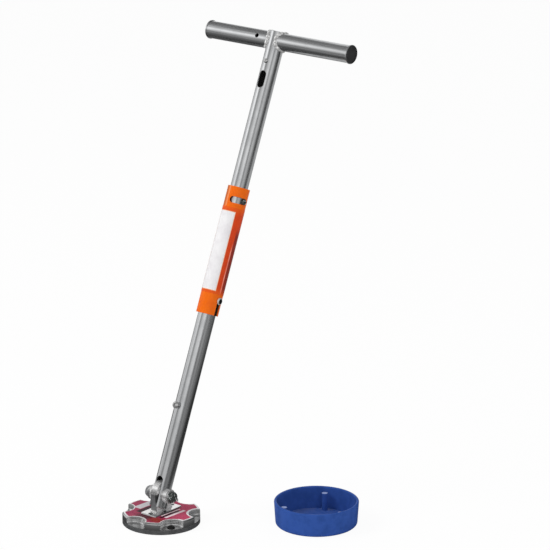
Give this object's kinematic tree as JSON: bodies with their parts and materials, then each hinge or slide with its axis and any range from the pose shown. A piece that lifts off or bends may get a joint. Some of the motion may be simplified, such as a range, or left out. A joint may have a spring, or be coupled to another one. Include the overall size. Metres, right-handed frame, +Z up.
{
  "type": "manhole cover lifter",
  "caption": "Magnetic manhole cover lifter: a T-handled two-part pole hinged on a round magnet foot, with a loose plastic keeper cap for the magnet face.",
  "frame": {"origin": "centre of the magnet face, on the cover that it grips", "axes": "+Z up out of the cover, +X along the hinge bolt and the handle, +Y the way the pole leans"},
  "size_m": [0.475, 0.4402, 0.8882],
  "materials": {
    "pot_paint": "satin dark grey",
    "nickel": "nickel plated",
    "cover_chrome": "bright plated",
    "foot_print": "gloss laminated label",
    "black_plastic": "moulded",
    "bright_steel": "zinc plated, bright",
    "zinc": "zinc plated",
    "dark_bolt": "black oxide",
    "sleeve_paint": "gloss orange enamel",
    "wrap_print": "gloss laminated label",
    "cap_plastic": "moulded, semi-matte"
  },
  "bodies": {
    "foot": {"magnet_pot": "pot_paint", "magnets": "nickel", "foot_cover": "cover_chrome", "foot_label": "foot_print", "rim_plug": "black_plastic", "hinge_plate": "bright_steel", "plate_screws": "zinc", "hinge_lug": "zinc", "lug_welds": "zinc"},
    "pole": {"lower_tube": "bright_steel", "pivot_bosses": "zinc", "pivot_bolt": "dark_bolt", "pivot_nut": "zinc", "pivot_washers": "zinc", "stow_stud": "zinc", "coupling_spigot": "zinc", "lock_sleeve": "sleeve_paint", "sleeve_label": "wrap_print", "dog_screw": "zinc"},
    "handle": {"upper_tube": "bright_steel", "guide_stud": "dark_bolt", "left_arm": "bright_steel", "right_arm": "bright_steel", "left_end_plug": "black_plastic", "right_end_plug": "black_plastic", "top_bung": "black_plastic", "bung_rivet": "zinc"},
    "cap": {"magnet_cap": "cap_plastic"}
  },
  "joints": [
    {"name": "foot_hinge", "type": "hinge", "parent": "foot", "child": "pole", "pos_m": [0, 0, 0.05422], "axis": [1, 0, 0], "range_deg": [-67, 113]},
    {"name": "handle_turn", "type": "hinge", "parent": "pole", "child": "handle", "pos_m": [0, 0, 0.05422], "axis": [0, -0.3907, -0.9205], "range_deg": [0, 70]},
    {"name": "cap_lift", "type": "slide", "parent": "foot", "child": "cap", "axis": [0, 0, 1], "range_m": [0, 0.1]}
  ]
}
